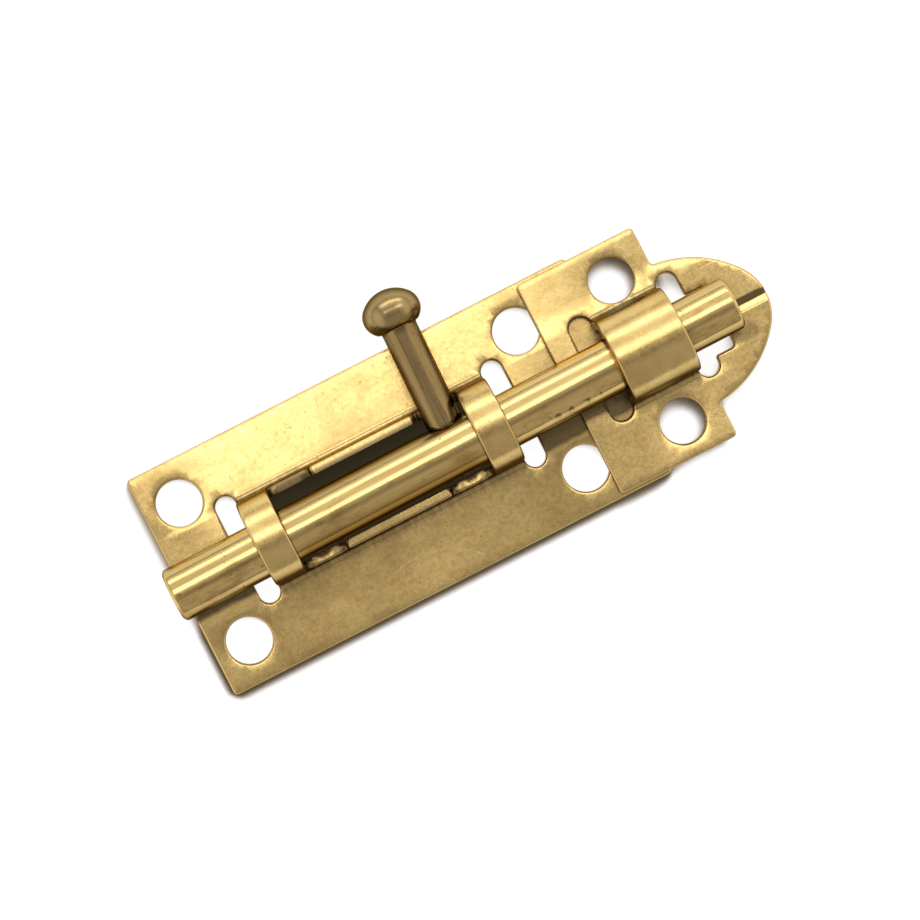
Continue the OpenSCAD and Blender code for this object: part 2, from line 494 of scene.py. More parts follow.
def oval_side():
    """The arc of the nose's upper side and its round end, from the tip back to nose_x."""
    end_x = keeper_high.x - nose_x - nose_end_r
    rise = nose_half_w - nose_end_r
    drop = (end_x ** 2 - rise ** 2) / (2 * rise)
    meet = math.atan2(drop, end_x)
    tip = arc((nose_x + end_x, 0), nose_end_r, 0, meet, 0.25)
    side_r = nose_half_w + drop
    leave = math.acos((wing_x - nose_x) / side_r)
    return tip + arc((nose_x, -drop), side_r, meet, leave, 0.3)[1:]


def keeper_outline():
    low_y, high_y = keeper_low.y - loop_y, keeper_high.y - loop_y
    middle = nose_y - loop_y
    fillet = 0.5
    side = oval_side()
    root = side[-1]
    side = [point for point in side if math.dist(point, root) > 2 * fillet]
    upper = [(x, middle + y, 0) for x, y in side] + [(root[0], middle + root[1], fillet)]
    lower = [(x, 2 * middle - y, r) for x, y, r in reversed(upper[1:])]
    return rounded(
        [(keeper_low.x, low_y, corner_r), (wing_x, low_y, corner_r)]
        + lower
        + upper
        + [(wing_x, high_y, corner_r), (keeper_low.x, high_y, corner_r)]
    )


def keeper_holes():
    hole_y = keeper_screws["spacing_y_mm"] / 2
    return [circle((keeper_hole_x, y - loop_y), keeper_screws["hole_r_mm"]) for y in (-hole_y, hole_y)]


def keeper_far_slot():
    """The second relief slot with the window that opens from it into the nose, in (x, s)."""
    radius = far_relief_w / 2
    end = flat_s + keeper_past_bend - radius
    centre_x = far_relief_x + radius
    middle = nose_y - loop_y
    upper = arc((centre_x, end), radius, math.pi, 0, 0.25)
    lower = arc((centre_x, -end), radius, 0, -math.pi, 0.25)
    window = rounded([
        (window_x, end, 0),
        (window_x, middle + window_w / 2, 0.4),
        (window_x + window_reach, middle + window_w / 2, 0.5),
        (window_x + window_reach, middle - window_w / 2, 0.5),
        (window_x, middle - window_w / 2, 0.4),
        (window_x, -end, 0),
    ])[1:-1]
    return upper + window + lower


def keeper_near_slot():
    return slot(near_relief_x, near_relief_w, flat_s + keeper_past_bend)


def keeper_is_folded(x):
    return near_relief_x + near_relief_w / 2 < x < far_relief_x + far_relief_w / 2


def groove_drop(x, y):
    """Depth of the V groove along the middle of the nose."""
    if x < window_x:
        return 0.0
    across = abs(y - (nose_y - loop_y)) / (groove_w / 2)
    return groove_depth * max(0.0, 1 - across)


def no_drop(x, y):
    return 0.0


# The rod and the knobbed pin, turned pieces


def lathe(rings, place):
    """Vertices and faces of a closed body of revolution; place(ring, angle) gives a point."""
    segments = 128
    vertices = []
    for ring in rings:
        vertices += [place(ring, 2 * math.pi * k / segments) for k in range(segments)]
    faces = []
    for i in range(len(rings) - 1):
        for k in range(segments):
            n = (k + 1) % segments
            faces.append((
                i * segments + k,
                i * segments + n,
                (i + 1) * segments + n,
                (i + 1) * segments + k,
            ))
    last = (len(rings) - 1) * segments
    faces.append(tuple(range(segments - 1, -1, -1)))
    faces.append(tuple(range(last, last + segments)))
    return vertices, faces


def rod_rings():
    """(x, radius) of the rod's rings, from its tail to its tip."""
    chamfer = 0.35
    end = [
        (0, 0.35),
        (0, 1.6),
        (0, 2.4),
        (0.03, rod_r - chamfer - 0.06),
        (0.07, rod_r - chamfer),
        (chamfer - 0.05, rod_r - 0.06),
        (chamfer + 0.02, rod_r - 0.02),
        (chamfer + 0.15, rod_r),
    ]
    middle = np.arange(rod_low.x + 1, rod_high.x - 0.8, 0.5)
    rings = [(rod_low.x + x, r) for x, r in end]
    rings += [(x, rod_r) for x in middle]
    rings += [(rod_high.x - x, r) for x, r in reversed(end)]
    return rings


def place_rod(ring, angle):
    """The rod is a little uneven, and lies askew in its loose loops, turned about the pin's foot."""
    x, radius = ring
    sin, cos = math.sin(angle), math.cos(angle)
    if radius > rod_r - 0.01:
        wave = noise.noise(Vector((x * 0.12, sin * 1.5, cos * 1.5)))
        radius -= rod_wave * (0.5 + 0.5 * wave)
    return x, radius * cos + (x - pin_x) * rod_skew, rod_z + radius * sin


def knob_profile():
    """(distance along the pin, radius) from the pin's shaft over the knob to its top."""
    end_x = knob_r - knob_side_r
    rise = knob_half_h - knob_side_r
    drop = (end_x ** 2 - rise ** 2) / (2 * rise)
    meet = math.atan2(drop, end_x)
    under = math.asin((knob_under - knob_mid) / knob_side_r)
    side = arc((end_x, 0), knob_side_r, under, meet, 0.2)
    dome = arc((0, -drop), knob_half_h + drop, meet, math.pi / 2 - 0.04, 0.2)[1:]
    neck = [
        (pin_r, knob_under - knob_mid - 0.35),
        (pin_r + 0.03, knob_under - knob_mid - 0.12),
        (pin_r + 0.12, knob_under - knob_mid - 0.02),
    ]
    return [(knob_mid + along, radius) for radius, along in neck + side + dome]


def pin_rings():
    """Rings of the pin: (distance along it, radius, whether it follows the saddle)."""
    foot = [(0, pin_r * f, True) for f in (0.2, 0.5, 0.8, 0.93)]
    foot += [(0.08, pin_r, True), (0.5, pin_r, True)]
    shaft = [(along, pin_r, False) for along in np.arange(4.5, knob_under - 0.6, 0.6)]
    return foot + shaft + [(along, radius, False) for along, radius in knob_profile()]


def place_pin(ring, angle):
    along, radius, on_saddle = ring
    across, up = radius * math.cos(angle), radius * math.sin(angle)
    if on_saddle:
        seat = math.sqrt(saddle_r ** 2 - up ** 2) + across * math.sin(pin_lean)
        along += seat / math.cos(pin_lean)
    x = pin_x + along * math.sin(pin_lean) + across * math.cos(pin_lean)
    y = along * math.cos(pin_lean) - across * math.sin(pin_lean)
    return x, y, rod_z + up


# Materials


class Nodes:
    """A short way to write the nodes of a material or of the world. Values are numbers or sockets."""

    def __init__(self, data):
        data.use_nodes = True
        self.tree = data.node_tree

    def add(self, kind, **settings):
        node = self.tree.nodes.new(kind)
        for key, value in settings.items():
            setattr(node, key, value)
        return node

    def link(self, source, target):
        self.tree.links.new(source, target)

    def coordinate(self, kind):
        return self.add("ShaderNodeTexCoord").outputs[kind]

    def split(self, vector):
        """A vector's X, Y and Z."""
        node = self.add("ShaderNodeSeparateXYZ")
        self.link(vector, node.inputs["Vector"])
        return node.outputs

    def place(self, scale=(1, 1, 1)):
        """Object coordinates in millimetres, times scale."""
        mapping = self.add("ShaderNodeMapping")
        mapping.inputs["Scale"].default_value = [value / MM for value in scale]
        self.link(self.coordinate("Object"), mapping.inputs["Vector"])
        return mapping.outputs["Vector"]

    def object_mm(self):
        """The object's own coordinates in millimetres, as X, Y and Z."""
        return self.split(self.place())

    def object_normal(self):
        """The object's own normal, as X, Y and Z."""
        return self.split(self.coordinate("Normal"))

    def noise(self, scale, detail=2.0, rough=0.5):
        node = self.add("ShaderNodeTexNoise")
        node.inputs["Scale"].default_value = 1.0
        node.inputs["Detail"].default_value = detail
        node.inputs["Roughness"].default_value = rough
        self.link(self.place(scale), node.inputs["Vector"])
        return node.outputs["Fac"]

    def math(self, operation, a, b=0.0):
        node = self.add("ShaderNodeMath", operation=operation)
        for socket, value in zip(node.inputs, (a, b)):
            if isinstance(value, (int, float)):
                socket.default_value = value
            else:
                self.link(value, socket)
        return node.outputs["Value"]

    def total(self, first, *others):
        for other in others:
            first = self.math("ADD", first, other)
        return first

    def product(self, first, *others):
        for other in others:
            first = self.math("MULTIPLY", first, other)
        return first

    def less(self, a, b):
        return self.math("SUBTRACT", a, b)

    def size(self, value):
        """The value without its sign."""
        return self.math("ABSOLUTE", value)

    def between(self, share, a, b):
        """The value a where share is 0, and b where it is 1."""
        return self.total(a, self.product(share, self.less(b, a)))

    def range(self, value, low, high, to_low, to_high):
        """A value that goes straight from to_low to to_high while the other one goes from low to high."""
        node = self.add("ShaderNodeMapRange")
        node.inputs["From Min"].default_value = low
        node.inputs["From Max"].default_value = high
        node.inputs["To Min"].default_value = to_low
        node.inputs["To Max"].default_value = to_high
        self.link(value, node.inputs["Value"])
        return node.outputs["Result"]

    def ramp(self, value, *stops):
        """A colour that follows the value through the stops (value, colour)."""
        node = self.add("ShaderNodeValToRGB")
        points = node.color_ramp.elements
        while len(points) < len(stops):
            points.new(0.5)
        for point, (position, colour) in zip(points, stops):
            point.position = position
            point.color = (*colour, 1.0)
        self.link(value, node.inputs["Fac"])
        return node.outputs["Color"]

    def curve(self, value, *stops):
        """A number that follows the value through the stops (value, number), straight between them."""
        low, high = stops[0][0], stops[-1][0]
        least = min(number for _, number in stops)
        span = max(number for _, number in stops) - least
        share = self.range(value, low, high, 0.0, 1.0)
        points = [((at - low) / (high - low), ((number - least) / span,) * 3) for at, number in stops]
        return self.range(self.ramp(share, *points), 0.0, 1.0, least, least + span)

    def mix(self, factor, a, b):
        """The colour a where the factor is 0, and b where it is 1."""
        node = self.add("ShaderNodeMix", data_type="RGBA")
        for name, value in (("Factor", factor), ("A", a), ("B", b)):
            socket = next(s for s in node.inputs if s.name == name and s.enabled)
            if isinstance(value, tuple):
                socket.default_value = (*value, 1.0)
            elif isinstance(value, float):
                socket.default_value = value
            else:
                self.link(value, socket)
        return next(s for s in node.outputs if s.enabled)

    def bump(self, height, distance, strength, normal=None):
        node = self.add("ShaderNodeBump")
        node.inputs["Distance"].default_value = distance * MM
        if isinstance(strength, float):
            node.inputs["Strength"].default_value = strength
        else:
            self.link(strength, node.inputs["Strength"])
        self.link(height, node.inputs["Height"])
        if normal is not None:
            self.link(normal, node.inputs["Normal"])
        return node.outputs["Normal"]


BLACK = (0.0, 0.0, 0.0)
WHITE = (1.0, 1.0, 1.0)
BRASS = (0.79, 0.57, 0.22)
BRASS_DULL = (0.68, 0.472, 0.174)
OLD_BRASS = (0.36, 0.25, 0.1)
OLD_BRASS_DULL = (0.27, 0.18, 0.068)
HANDLED = (0.52, 0.385, 0.17)
BROWN = (0.44, 0.27, 0.09)
# Dark brown: real tarnish in the rod's pocks, and painted shade in most of its other uses
TARNISH_AND_SHADE = (0.15, 0.106, 0.052)
# Painted shade: a duller brass for the rod's flank that faces the light
LIGHT_SIDE_FLANK_SHADE = (0.56, 0.42, 0.19)
# Painted shade: the brown and the dark of the rod's flanks where it runs over the dark channel
MIDDLE_SHADE_BROWN = (0.36, 0.2, 0.045)
MIDDLE_SHADE_DARK = (0.06, 0.037, 0.013)
SCRIBED = (1.0, 0.8, 0.42)
# Worn brass is duller near a glancing angle
EDGE_TINT = (0.45, 0.40, 0.32, 1.0)
# The pits of the sheet and the specks of the turned pieces, as a share of the dull colour round them
PIT_SHADE = 0.6
SPECK_SHADE = 0.35


def brass(name):
    """A new brass: its material, its nodes and its shader's inputs, which the functions below fill in."""
    material = bpy.data.materials.new(name)
    n = Nodes(material)
    shader = n.tree.nodes["Principled BSDF"]
    shader.inputs["Metallic"].default_value = 1.0
    shader.inputs["Specular Tint"].default_value = EDGE_TINT
    return material, n, shader.inputs


# Masks and tilts of the sheet, for what the press has sheared and the pin has rubbed


def lip_mask(n):
    """1 on the lips' sheared edges."""
    x, _, z = n.object_mm()
    on_lip = n.range(n.size(x), lip_x, lip_x + 0.3, 1.0, 0.0)
    return n.product(on_lip, n.range(z, lip_z - 0.4, lip_z - 0.3, 0.0, 1.0))


def window_edge(n):
    """1 on the sheared edges round the window between the loops, which are smoother than the face."""
    x, y, _ = n.object_mm()
    along = n.range(n.size(x), loop_x - 0.05, loop_x + 0.1, 1.0, 0.0)
    off = n.size(n.less(y, loop_y))
    return n.product(along, n.range(off, 5.4, 5.5, 1.0, 0.0))


def notch_tilt(n):
    """The floors of the lower notches lean towards the light where the pin rubs them, and shine."""
    x, y, z = n.object_mm()
    off = n.less(y, loop_y)
    return n.product(
        n.curve(n.size(x), (8.2, 0.0), (9.0, 0.16), (9.9, 0.16), (10.7, 0.0)),
        n.range(off, -3.9, -4.1, 0.0, 1.0),
        n.range(off, -5.4, -5.2, 0.0, 1.0),
        n.range(z, 2.2, 2.1, 0.0, 1.0),
    )


def lip_tilt(n):
    """The lips' edges, all but the outer strip of the lower one, lean a little towards the light."""
    _, y, _ = n.object_mm()
    off = n.less(y, loop_y)
    return n.product(lip_mask(n), n.range(off, -4.35, -4.2, 0.0, 1.0), 0.05)


def leaning_normal(n, upper_tilt, lower_tilt, bend_tilts, own_tilts):
    """The pressed halves are a little wavy: a tilt towards +Y that changes along the plate."""
    x, y, _ = n.object_mm()
    off = n.less(y, loop_y)
    edge = n.range(n.size(x), relief_x, relief_x + 0.3, bend_y - 0.6, 2.0)
    upper = n.range(n.less(off, edge), 0.0, 1.0, 0.0, 1.0)
    lower = n.range(n.total(off, edge), 0.0, -1.0, 0.0, 1.0)
    lower_bend, upper_bend = bend_tilts
    lean = n.total(
        n.product(upper, n.curve(x, *upper_tilt)),
        n.product(lower, n.curve(x, *lower_tilt)),
        n.curve(y, (-10.0, 0.0), (-7.5, lower_bend), (-5.8, lower_bend), (-4.8, 0.0)),
        n.curve(y, (5.9, 0.0), (6.5, upper_bend), (7.6, upper_bend), (9.0, 0.0)),
        *own_tilts,
        n.range(n.noise((0.1, 0.16, 0.1), 1.0), 0.3, 0.7, -0.012, 0.012),
    )
    offset = n.add("ShaderNodeCombineXYZ")
    n.link(lean, offset.inputs["Y"])
    leaning = n.add("ShaderNodeVectorMath", operation="ADD")
    n.link(n.coordinate("Normal"), leaning.inputs[0])
    n.link(offset.outputs["Vector"], leaning.inputs[1])
    turn = n.add("ShaderNodeVectorTransform", vector_type="NORMAL")
    turn.convert_from = "OBJECT"
    turn.convert_to = "WORLD"
    n.link(leaning.outputs["Vector"], turn.inputs["Vector"])
    return turn.outputs["Vector"]


# Marks and painted shade of the sheet: each function takes a colour and gives it back with them on it


def rod_shade(n, colour, x_stops, edges):
    """Painted shadow of the rod on the sheet beside it, on its side away from the light."""
    x, y, _ = n.object_mm()
    ragged = n.range(n.noise((0.5, 0.5, 0.5), 3.0), 0.3, 0.7, -0.15, 0.15)
    y = n.total(y, ragged)
    edge = n.range(x, -10.0, 10.0, *edges)
    across = n.product(
        n.range(n.less(y, edge), -0.25, 0.25, 0.0, 1.0),
        n.range(y, -3.0, -2.0, 1.0, 0.0),
    )
    return n.mix(n.product(across, n.curve(x, *x_stops)), colour, TARNISH_AND_SHADE)


def bend_shade_band(n, colour, first_x, last_x, lower_end):
    """Painted shade in the bends beside the loops, brown, with the tool's short marks across them."""
    x, y, _ = n.object_mm()
    off = n.less(y, loop_y)
    upper = n.product(
        n.curve(off, (4.8, 0.0), (5.2, 0.5), (5.5, 0.8), (5.85, 0.75), (6.2, 0.0)),
        n.curve(n.size(x), (0.0, 0.45), (lip_x, 0.45), (lip_x + 1.0, 1.0), (60.0, 1.0)),
    )
    lower = n.curve(
        off,
        (-lower_end - 1.2, 0.0),
        (-lower_end, 0.2),
        (-lower_end + 0.5, 0.6),
        (-5.5, 0.9),
        (-5.2, 0.9),
        (-4.8, 0.0),
    )
    along = n.curve(x, (first_x - 0.2, 0.0), (first_x, 1.0), (last_x, 1.0), (last_x + 0.2, 0.0))
    marks = n.range(n.noise((1.8, 0.12, 0.12), 1.0), 0.35, 0.65, 0.55, 0.85)
    return n.mix(n.product(n.total(upper, lower), along, marks), colour, TARNISH_AND_SHADE)


def notch_and_lip_shade(n, colour):
    """Painted shade in the notches beside the lips, all but the shining middle of the lower ones."""
    x, y, _ = n.object_mm()
    from_middle = n.size(x)
    off = n.less(y, loop_y)
    across = n.curve(n.size(off), (3.9, 0.0), (4.1, 1.0), (5.3, 1.0), (5.5, 0.0))
    corners = n.curve(
        from_middle,
        (6.4, 0.0), (6.7, 0.9), (7.3, 0.9), (7.8, 0.0),
        (10.8, 0.0), (11.3, 0.9), (11.9, 0.9), (12.1, 0.0),
    )
    notch = n.curve(from_middle, (6.4, 0.0), (6.8, 0.8), (11.9, 0.8), (12.1, 0.0))
    is_upper = n.math("GREATER_THAN", off, 0.0)
    colour = n.mix(n.product(across, n.between(is_upper, corners, notch)), colour, TARNISH_AND_SHADE)
    # Painted shade on the lips' edges: the upper one dark, the outer strip of the lower one browner
    lower_lip = n.curve(off, (-5.3, 0.1), (-4.5, 0.08), (-4.25, 0.0), (0.0, 0.0))
    upper_lip = n.curve(off, (0.0, 0.0), (4.0, 0.95), (4.45, 0.8), (4.75, 0.35), (4.95, 0.0))
    colour = n.mix(n.product(lip_mask(n), lower_lip), colour, OLD_BRASS)
    return n.mix(n.product(lip_mask(n), upper_lip), colour, TARNISH_AND_SHADE)


def scribed_arc(n, colour):
    """A faint line that a compass left on the lower half."""
    centre_x, centre_y, radius = -0.4, -18.8, 9.7
    x, y, _ = n.object_mm()
    dx = n.less(x, centre_x)
    dy = n.less(y, centre_y)
    distance = n.math("SQRT", n.total(n.product(dx, dx), n.product(dy, dy)))
    line = n.range(n.size(n.less(distance, radius)), 0.04, 0.12, 0.45, 0.0)
    worn = n.product(
        n.range(n.noise((0.9, 0.9, 0.9), 2.0), 0.4, 0.6, 0.1, 1.0),
        n.range(x, -5.5, -3.5, 0.0, 1.0),
    )
    return n.mix(n.product(line, worn), colour, SCRIBED)


def groove_shade(n, colour):
    """The wall of the nose's groove that faces away from the light is dark."""
    x, y, _ = n.object_mm()
    _, side, _ = n.object_normal()
    share = n.product(
        n.range(side, -0.05, -0.25, 0.0, 0.9),
        n.range(n.size(n.less(y, nose_y)), groove_w / 2, groove_w / 2 + 0.1, 1.0, 0.0),
        n.math("GREATER_THAN", x, window_x),
    )
    return n.mix(share, colour, TARNISH_AND_SHADE)


def steep_face_shade(n, colour):
    """Painted shade: steep faces go dark brown, all but the base plate's upper edge."""
    _, y, _ = n.object_mm()
    _, side, up = n.object_normal()
    flatness = n.total(n.size(up), n.product(side, 0.08))
    steep = n.range(flatness, 0.3, 0.64, 0.85, 0.0)
    # Painted shade: faces turned away from the light a little browner
    colour = n.mix(n.range(side, -0.12, -0.4, 0.0, 0.1), colour, OLD_BRASS)
    return n.mix(n.product(steep, n.range(y, 11.8, 12.2, 1.0, 0.0)), colour, TARNISH_AND_SHADE)


def sheet_brass(name, upper_tilt, lower_tilt, bend_tilts, shade_x, shade_edges, bend, is_base):
    """Rolled sheet: a grainy, slightly mottled face."""
    material, n, shader = brass(name)
    mottle = n.noise((0.25, 0.25, 0.25), 5.0, 0.62)
    grain = n.noise((2.2, 2.2, 2.2), 3.0, 0.55)
    waves = n.noise((0.5, 0.5, 0.5), 2.0)
    pits = n.ramp(n.noise((2.2, 2.2, 2.2), 3.0, 0.65), (0.64, BLACK), (0.72, WHITE))
    tint = n.ramp(mottle, (0.4, BRASS_DULL), (0.6, BRASS))
    tint = n.mix(pits, tint, tuple(PIT_SHADE * c for c in BRASS_DULL))
    tint = rod_shade(n, tint, shade_x, shade_edges)
    tint = bend_shade_band(n, tint, *bend)
    grain_depth, wave_depth = 0.5, 0.5
    own_tilts = ()
    if is_base:
        tint = scribed_arc(n, notch_and_lip_shade(n, tint))
        grain_depth = n.range(window_edge(n), 0.0, 1.0, 0.5, 0.03)
        wave_depth = n.range(window_edge(n), 0.0, 1.0, 0.5, 0.2)
        own_tilts = (notch_tilt(n), lip_tilt(n))
    else:
        tint = groove_shade(n, tint)
    normal = leaning_normal(n, upper_tilt, lower_tilt, bend_tilts, own_tilts)
    normal = n.bump(grain, 0.006, grain_depth, normal)
    n.link(steep_face_shade(n, tint), shader["Base Color"])
    n.link(n.range(grain, 0.3, 0.7, 0.2, 0.32), shader["Roughness"])
    n.link(n.bump(waves, 0.03, wave_depth, normal), shader["Normal"])
    return material


# Marks and painted shade of the rod and of the knobbed pin


def smudges(n, colour):
    """Brown handling blotches, leaning to the side away from the light as painted shade; a row of pocks.
    """
    x, y, _ = n.object_mm()
    side = n.range(y, -1.0, 1.0, 0.0, 0.1)
    blotch = n.less(n.noise((0.22, 0.5, 0.5), 5.0, 0.65), side)
    colour = n.mix(n.range(blotch, 0.48, 0.64, 0.0, 0.75), colour, BROWN)
    pocks = n.range(n.noise((1.1, 1.1, 1.1), 1.0), 0.52, 0.6, 0.0, 0.8)
    row = n.product(
        n.curve(y, (-2.3, 0.0), (-2.05, 1.0), (-1.85, 1.0), (-1.6, 0.0)),
        n.curve(x, (19.0, 0.0), (20.5, 1.0), (27.0, 1.0), (28.0, 0.0)),
    )
    return n.mix(n.product(pocks, row), colour, TARNISH_AND_SHADE)


def dull_tail(n, colour):
    """The rod's upper flank is duller towards its tail."""
    x, _, _ = n.object_mm()
    _, side, _ = n.object_normal()
    along = n.curve(x, (-27.0, 0.32), (-14.0, 0.28), (6.0, 0.16), (12.0, 0.0), (50.0, 0.0))
    return n.mix(n.product(along, n.range(side, 0.05, 0.25, 0.0, 1.0)), colour, OLD_BRASS)


def rod_flank_shade(n, colour):
    """Painted shade on the rod's flanks, less deep on the side of the light."""
    _, side, up = n.object_normal()
    flatness = n.total(up, n.product(side, 0.25))
    colour = n.mix(n.range(side, 0.6, 0.85, 0.0, 0.6), colour, LIGHT_SIDE_FLANK_SHADE)
    return n.mix(n.range(flatness, 0.08, 0.6, 0.95, 0.0), colour, TARNISH_AND_SHADE)


def rod_middle_shade(n, colour):
    """Painted shade on the rod's middle, over the dark channel: brown low, dark on both flanks."""
    x, _, _ = n.object_mm()
    _, side, _ = n.object_normal()
    middle = n.curve(x, (-16.0, 0.0), (-10.5, 1.0), (10.0, 1.0), (15.5, 0.0))
    low_flank_shade = n.curve(
        side,
        (-1.0, 1.0), (-0.69, 0.95), (-0.57, 0.5), (-0.45, 0.2), (-0.3, 0.0), (1.0, 0.0),
    )
    steep_flank_shade = n.range(n.size(side), 0.66, 0.92, 0.0, 0.9)
    colour = n.mix(n.product(middle, low_flank_shade), colour, MIDDLE_SHADE_BROWN)
    return n.mix(n.product(middle, steep_flank_shade), colour, MIDDLE_SHADE_DARK)


def pin_and_knob_shade(n, colour):
    """Painted shade: the pin dark but for two light stripes; the knob's rim and a spot on its crown dark.
    """
    _, y, _ = n.object_mm()
    across, along, up = n.object_normal()
    side = n.size(across)
    pin = n.curve(
        side,
        (0.0, 0.55), (0.18, 0.5), (0.38, 0.0), (0.66, 0.0), (0.8, 0.7), (0.95, 0.95), (1.0, 0.95),
    )
    rim = n.curve(n.size(up), (0.0, 1.0), (0.35, 0.95), (0.6, 0.3), (0.8, 0.05), (1.0, 0.0))
    crown = n.product(
        n.range(n.size(n.less(along, 0.12)), 0.1, 0.22, 0.75, 0.0),
        n.range(side, 0.12, 0.3, 1.0, 0.0),
    )
    is_knob = n.range(y, knob_under - 0.3, knob_under + 0.2, 0.0, 1.0)
    share = n.between(is_knob, pin, n.math("MAXIMUM", rim, crown))
    colour = n.mix(n.product(is_knob, 0.5), colour, HANDLED)
    return n.mix(share, colour, TARNISH_AND_SHADE)


def turned_brass(name, tone, shade, along, rough, marks):
    """Drawn or turned stock: lines along axis number along, small dark specks, marks and painted shade.
    """
    material, n, shader = brass(name)
    streaks = n.noise([0.15 if axis == along else 4.0 for axis in range(3)], 3.0, 0.6)
    specks = n.ramp(n.noise((1.3, 1.3, 1.3), 4.0, 0.7), (0.64, BLACK), (0.7, WHITE))
    tint = n.ramp(streaks, (0.3, shade), (0.6, tone))
    tint = n.mix(specks, tint, tuple(SPECK_SHADE * c for c in shade))
    for mark in marks:
        tint = mark(n, tint)
    n.link(tint, shader["Base Color"])
    n.link(n.range(streaks, 0.3, 0.7, rough - 0.04, rough + 0.04), shader["Roughness"])
    n.link(n.bump(streaks, 0.006, 0.5), shader["Normal"])
    return material


# The stops of a tilt are (x, tilt), and those of shade_x are (x, share of the painted shadow beside the
# rod)
plate_brass = sheet_brass(
    "plate_brass_sheet",
    upper_tilt=(
        (-27, 0.0), (-22, 0.01), (-16, 0.07), (-11, 0.085), (-7, 0.075), (-3, 0.06),
        (3, 0.058), (8, 0.06), (14, 0.08), (18, 0.065), (22, 0.03), (26, 0.025),
    ),
    lower_tilt=(
        (-27, -0.01), (-17, -0.025), (-3, -0.005), (8, -0.015), (15, -0.035), (24, -0.03), (30, 0.0),
    ),
    bend_tilts=(-0.03, -0.01),
    shade_x=((-26.5, 0.9), (-18.5, 0.9), (-18.0, 0.0), (15.5, 0.0), (16.0, 0.9), (31, 0.9)),
    shade_edges=(-4.3, -5.2),
    bend=(-relief_x, relief_x, 6.6),
    is_base=True,
)
keeper_brass = sheet_brass(
    "keeper_brass_sheet",
    upper_tilt=((24, 0.04), (28, 0.04), (31, 0.012), (35, 0.004), (50, 0.0)),
    lower_tilt=((24, -0.01), (28, -0.005), (31.5, 0.035), (36, 0.025), (50, 0.015)),
    bend_tilts=(-0.01, 0.045),
    shade_x=((23, 0.9), (29.5, 0.9), (30, 0.0), (42.8, 0.0), (43.4, 0.5), (46, 0.5), (46.8, 0.0)),
    shade_edges=(-4.2, -4.2),
    bend=(keeper_loop_x, far_relief_x, 6.1),
    is_base=False,
)
# Real marks and painted shade of the rod
rod_marks_and_shade = (smudges, dull_tail, rod_flank_shade, rod_middle_shade)
rod_brass = turned_brass("rod_brass_drawn", BRASS, BRASS_DULL, 0, 0.18, rod_marks_and_shade)
knob_brass = turned_brass("knob_brass_turned", OLD_BRASS, OLD_BRASS_DULL, 1, 0.25, (pin_and_knob_shade,))


# Pieces

vertices, faces = sheet_shape(
    base_low.z,
    [base_outline()] + base_holes(),
    base_slots() + [base_window()],
    band_rows,
    base_is_folded,
    no_drop,
)
make_piece("pressed_base", vertices, faces, plate_brass, "base_plate", "plate")

vertices, faces = sheet_shape(
    keeper_low.z,
    [keeper_outline()] + keeper_holes(),
    [keeper_near_slot(), keeper_far_slot()],
    sorted(band_rows + groove_rows),
    keeper_is_folded,
    groove_drop,
)
make_piece("pressed_keeper", vertices, faces, keeper_brass, "keeper", "keeper")

vertices, faces = lathe(rod_rings(), place_rod)
make_piece("drawn_rod", vertices, faces, rod_brass, "bolt_rod", "bolt")

vertices, faces = lathe(pin_rings(), place_pin)
make_piece("turned_knob_pin", vertices, faces, knob_brass, "knob_pin", "knob")


# Floor, camera and lights

# The floor's shadow: how far it reaches, in millimetres, where the light comes from, and its colours
SHADOW_REACH = 2.5
SHADOW_TOWARDS = (0.5, 0.56, 0.66)
SHADOW_SAMPLES = 24
SHADOW_STOPS = ((0.3, (0.09, 0.07, 0.045)), (0.55, (0.45, 0.39, 0.32)), (0.75, WHITE))
# The shadow is lighter in the holes that lie on the floor, and deeper in those that lie above it
SHADOW_LIGHTER = 0.35
SHADOW_DEEPER = -0.2
SHADOW_CRISPER = 2.5
# It is deeper and crisper, too, along the lower edge of the object
SHADOW_BELOW = -0.13
SHADOW_BELOW_CRISPER = 1.1
# Painted shade on the floor under the rod's channel, how far it goes in under the loops, how softly it
# ends
CHANNEL_PAINTED_SHADE = (0.025, 0.02, 0.01)
CHANNEL_UNDER_LOOP = 1.7
CHANNEL_FADE = 1.7
# The floor glows for whoever looks at it, and gives back only a share of the light of the lamps
FLOOR_GLOW = 0.92
FLOOR_SHARE = 0.25
FLOOR_HALF = 3.0
FLOOR_GAP = 0.00002


def shadow_openness(n, x, y):
    """How open the floor lies: least beside whatever stands on it, on the side away from the light."""
    near = n.add("ShaderNodeAmbientOcclusion", samples=SHADOW_SAMPLES)
    near.inputs["Distance"].default_value = SHADOW_REACH * MM
    towards = n.add("ShaderNodeCombineXYZ")
    for socket, value in zip(towards.inputs, SHADOW_TOWARDS):
        socket.default_value = value
    n.link(towards.outputs["Vector"], near.inputs["Normal"])

    beside = n.math("MAXIMUM", n.less(n.size(y), base_high.y - 1.0), n.less(base_low.x + 0.5, x))
    under = n.range(beside, 0.0, 0.4, 1.0, 0.0)
    below = n.product(n.range(y, -4.0, -6.0, 0.0, 1.0), n.less(1.0, under))
    change = n.curve(
        x,
        (keeper_low.x, SHADOW_LIGHTER),
        (base_high.x, SHADOW_DEEPER),
        (wing_x, SHADOW_DEEPER),
        (wing_x + 1, 0.0),
    )
    crisp = n.curve(
        x,
        (keeper_low.x, 1.0),
        (base_high.x, SHADOW_CRISPER),
        (wing_x, SHADOW_CRISPER),
        (wing_x + 1, 1.0),
    )
    crisp = n.total(crisp, n.product(below, SHADOW_BELOW_CRISPER))
    openness = n.total(near.outputs["AO"], n.product(under, change), n.product(below, SHADOW_BELOW))
    return n.total(n.product(n.less(openness, 0.5), crisp), 0.5)


